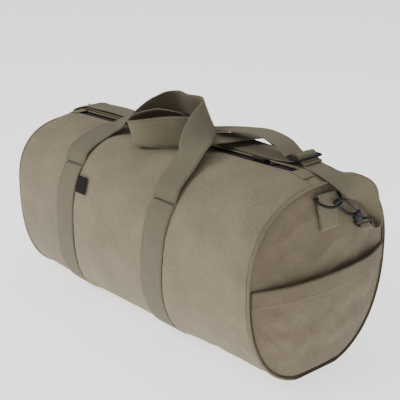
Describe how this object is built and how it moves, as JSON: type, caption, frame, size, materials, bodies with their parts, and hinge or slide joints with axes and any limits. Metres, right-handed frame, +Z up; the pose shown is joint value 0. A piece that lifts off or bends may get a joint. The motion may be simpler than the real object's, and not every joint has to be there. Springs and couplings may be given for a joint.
{
  "type": "duffel bag",
  "caption": "Barrel canvas duffel with a full-length top zipper, webbing handles round the body, end pocket, and a clip-on adjustable shoulder strap.",
  "frame": {"origin": "centre of the bag's bounding box on the ground under it", "axes": "+X along the barrel towards the end with the pocket, +Y towards the back, +Z up"},
  "size_m": [0.6924, 0.3054, 0.3817],
  "materials": {
    "canvas": "matt plain-weave cotton canvas, taupe khaki",
    "panel": "matt cotton canvas, slightly darker",
    "webbing": "ribbed cotton webbing, taupe",
    "zipper": "dark brown tape and moulded coil",
    "metal": "black oxide, satin",
    "label": "black woven label, plain"
  },
  "bodies": {
    "bag": {"body_wrap": "canvas", "end_panel_near": "panel", "end_panel_far": "panel", "seam_binding_near": "canvas", "seam_binding_far": "canvas", "end_pocket": "panel", "pocket_hem": "panel", "webbing_band_left": "webbing", "webbing_band_right": "webbing", "side_label": "label", "zipper_tape_front": "zipper", "zipper_tape_rear": "zipper", "zipper_teeth_front": "zipper", "zipper_teeth_rear": "zipper", "zipper_stop_far": "metal", "zipper_stop_near": "metal", "zipper_end_tab_far": "canvas", "zipper_end_tab_near": "canvas", "ring_tab_near": "webbing", "ring_tab_far": "webbing", "hook_eye_near": "metal", "hook_eye_far": "metal", "strap_run": "webbing", "strap_return": "webbing"},
    "slider": {"zipper_slider": "metal"},
    "pull": {"zipper_pull": "metal"},
    "ring_near": {"d_ring_near": "metal"},
    "ring_far": {"d_ring_far": "metal"},
    "hook_near": {"hook_body_near": "metal"},
    "hook_far": {"hook_body_far": "metal"},
    "gate_near": {"hook_gate_near": "metal"},
    "gate_far": {"hook_gate_far": "metal"},
    "adjuster": {"adjuster_frame": "metal"},
    "handle_front": {"front_handle": "webbing"},
    "handle_rear": {"rear_handle": "webbing"}
  },
  "joints": [
    {"name": "zipper_travel", "type": "slide", "parent": "bag", "child": "slider", "axis": [0.9996, 0, 0.027], "range_m": [-0.447, 0.038]},
    {"name": "pull_flip", "type": "hinge", "parent": "slider", "child": "pull", "pos_m": [0.2038, -0.01, 0.3119], "axis": [0, 1, 0], "range_deg": [0, 150]},
    {"name": "ring_swing_near", "type": "hinge", "parent": "bag", "child": "ring_near", "pos_m": [0.31556, -0.003, 0.284], "axis": [0, 1, 0], "range_deg": [-5, 5]},
    {"name": "ring_swing_far", "type": "hinge", "parent": "bag", "child": "ring_far", "pos_m": [-0.31561, -0.003, 0.262], "axis": [0, 1, 0], "range_deg": [-5, 5]},
    {"name": "hook_swivel_near", "type": "hinge", "parent": "bag", "child": "hook_near", "pos_m": [0.33382, 0.06263, 0.23278], "axis": [-0.0325, -0.7717, 0.6352], "range_deg": [-8, 8]},
    {"name": "hook_swivel_far", "type": "hinge", "parent": "bag", "child": "hook_far", "pos_m": [-0.33034, 0.06264, 0.21076], "axis": [-0.0211, -0.7719, 0.6353], "range_deg": [-8, 8]},
    {"name": "gate_press_near", "type": "hinge", "parent": "hook_near", "child": "gate_near", "pos_m": [0.33921, 0.04316, 0.25427], "axis": [-0.5551, 0.5424, 0.6306], "range_deg": [-18, 0], "stiffness_Nm_per_rad": 0.02},
    {"name": "gate_press_far", "type": "hinge", "parent": "hook_far", "child": "gate_far", "pos_m": [-0.33735, 0.04333, 0.23193], "axis": [0.5356, 0.5279, 0.6591], "range_deg": [-18, 0], "stiffness_Nm_per_rad": 0.02},
    {"name": "adjuster_tilt", "type": "hinge", "parent": "bag", "child": "adjuster", "pos_m": [0.25, 0.021, 0.32375], "axis": [0, 1, 0], "range_deg": [-4, 8]},
    {"name": "front_handle_swing", "type": "hinge", "parent": "bag", "child": "handle_front", "pos_m": [0, -0.131, 0.256], "axis": [1, 0, 0], "range_deg": [0, 10]},
    {"name": "rear_handle_swing", "type": "hinge", "parent": "bag", "child": "handle_rear", "pos_m": [0, 0.131, 0.256], "axis": [-1, 0, 0], "range_deg": [-0.8, 0]}
  ]
}
